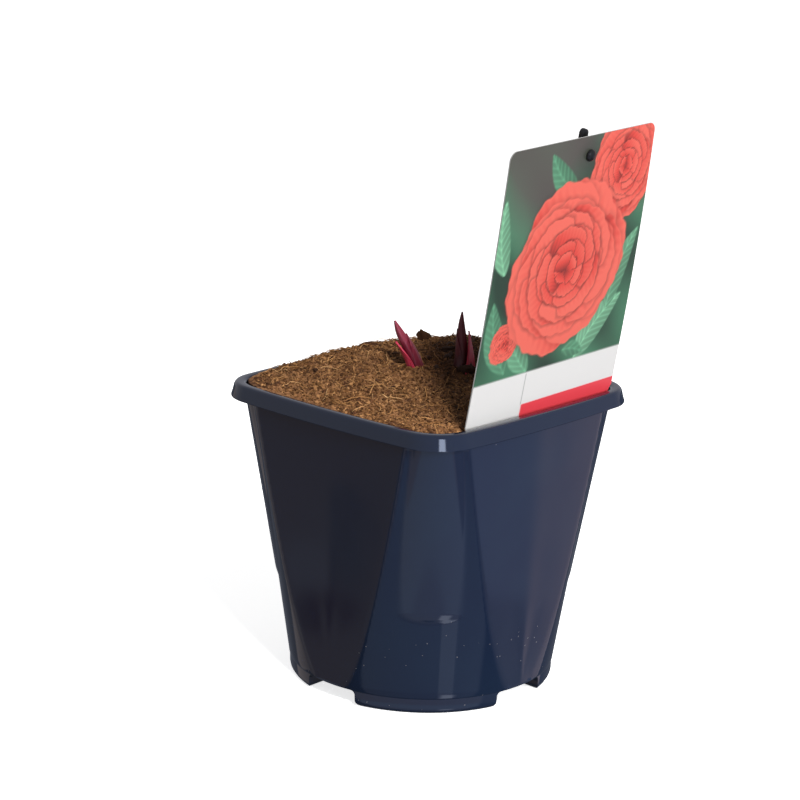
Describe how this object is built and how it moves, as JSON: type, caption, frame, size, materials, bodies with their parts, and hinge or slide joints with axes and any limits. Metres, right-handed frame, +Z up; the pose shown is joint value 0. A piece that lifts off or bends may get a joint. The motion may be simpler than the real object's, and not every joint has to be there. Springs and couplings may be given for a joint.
{
  "type": "potted chinese peony",
  "caption": "Dormant Chinese peony with red shoots just emerging from the soil of a dark blue square-to-round nursery pot, with a picture card on a black stake at one side.",
  "frame": {"origin": "bottom centre of the whole object's box, in the plane of the four feet", "axes": "+Z up; the pot's flat sides face +X, -X, +Y and -Y; the picture card stands at the +X side and faces +X"},
  "size_m": [0.1656, 0.1514, 0.278],
  "materials": {
    "pot_plastic": "glossy moulded navy blue polypropylene, lightly scratched and dusty",
    "soil": "loose fibrous coir and peat",
    "crown": "rough brown rootstock",
    "shoot": "smooth crimson scale leaves",
    "card": "printed polypropylene card, satin",
    "stake_plastic": "black moulded polypropylene, satin"
  },
  "bodies": {
    "root": {"pot": "pot_plastic", "soil": "soil", "crown": "crown", "shoot_left": "shoot", "shoot_right": "shoot", "label_card": "card", "label_stake": "stake_plastic"}
  },
  "joints": []
}
